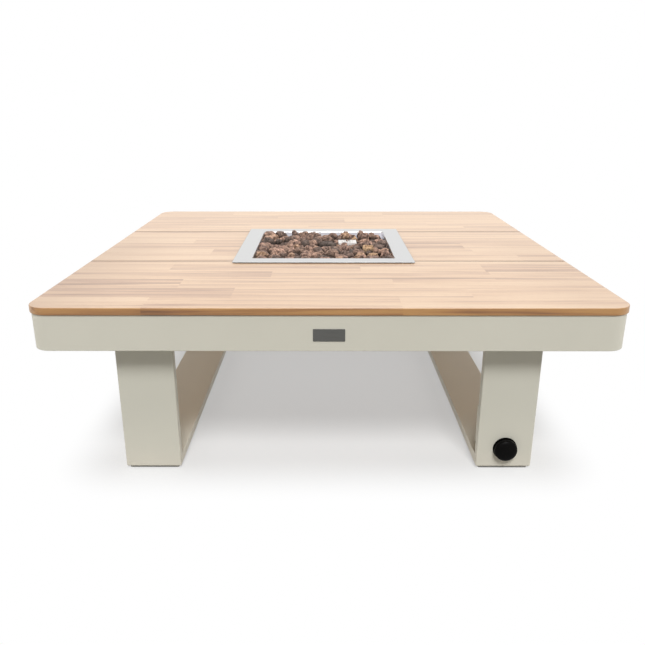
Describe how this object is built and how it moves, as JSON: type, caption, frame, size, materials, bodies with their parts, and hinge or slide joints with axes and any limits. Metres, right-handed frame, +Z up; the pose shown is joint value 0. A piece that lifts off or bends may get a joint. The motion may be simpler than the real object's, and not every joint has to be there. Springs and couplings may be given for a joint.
{
  "type": "fire pit table",
  "caption": "Low square gas fire pit table: wooden boards on a painted steel apron, flat sled legs, steel burner tray filled with lava rock, push-and-turn control knob on one leg.",
  "frame": {"origin": "on the floor under the middle of the top", "axes": "+Z up, front (name plate and knob) towards -Y, the knob's leg on the +X side"},
  "size_m": [1.2, 1.2, 0.398],
  "materials": {
    "wood": "oiled, staved boards",
    "paint": "matt powder coat",
    "stainless": "brushed",
    "zinc": "zinc plated",
    "plate": "dark anodised",
    "brass": "machined",
    "copper": "drawn copper tube",
    "alloy": "die cast",
    "ceramic": "unglazed",
    "rubber": "matt",
    "glide": "moulded, scuffed",
    "knob": "fine texture",
    "lava": "rough, porous"
  },
  "bodies": {
    "table": {"top_plank_front": "wood", "top_plank_rear": "wood", "top_panel_left": "wood", "top_panel_right": "wood", "apron_frame": "paint", "bearer_left": "paint", "bearer_right": "paint", "trimmer_front": "paint", "trimmer_rear": "paint", "trimmer_left": "paint", "trimmer_right": "paint", "leg_left_front": "paint", "leg_left_runner": "paint", "leg_left_rear": "paint", "leg_right_front": "paint", "leg_right_runner": "paint", "leg_right_rear": "paint", "leg_top_plates": "paint", "leg_bolts": "zinc", "leg_rivet_nuts": "zinc", "foot_glides": "glide", "plank_screws": "zinc", "name_plate": "plate", "tray_gasket": "rubber", "burner_tray": "stainless", "grate_ledges": "stainless", "rock_grate": "stainless", "burner_tube": "stainless", "burner_saddles": "stainless", "burner_locknut": "brass", "injector_elbow": "brass", "gas_pipe": "copper", "pipe_nut": "brass", "pipe_grommet": "rubber", "pilot_bracket": "stainless", "igniter_electrode": "ceramic", "thermocouple": "copper", "ignition_lead": "rubber", "thermocouple_lead": "copper", "igniter_guard": "stainless", "lava_rocks": "lava", "valve_body": "alloy", "valve_screws": "zinc", "inlet_nipple": "brass", "valve_cover": "paint", "cover_screws": "zinc", "knob_bezel": "knob"},
    "spindle": {"valve_spindle": "zinc"},
    "knob": {"control_knob": "knob"}
  },
  "joints": [
    {"name": "knob_turn", "type": "hinge", "parent": "table", "child": "spindle", "pos_m": [0.384, -0.55, 0.05], "axis": [0, -1, 0], "range_deg": [0, 210]},
    {"name": "knob_push", "type": "slide", "parent": "spindle", "child": "knob", "axis": [0, 1, 0], "range_m": [0, 0.004], "stiffness_N_per_m": 1200, "springref_m": -0.003}
  ]
}
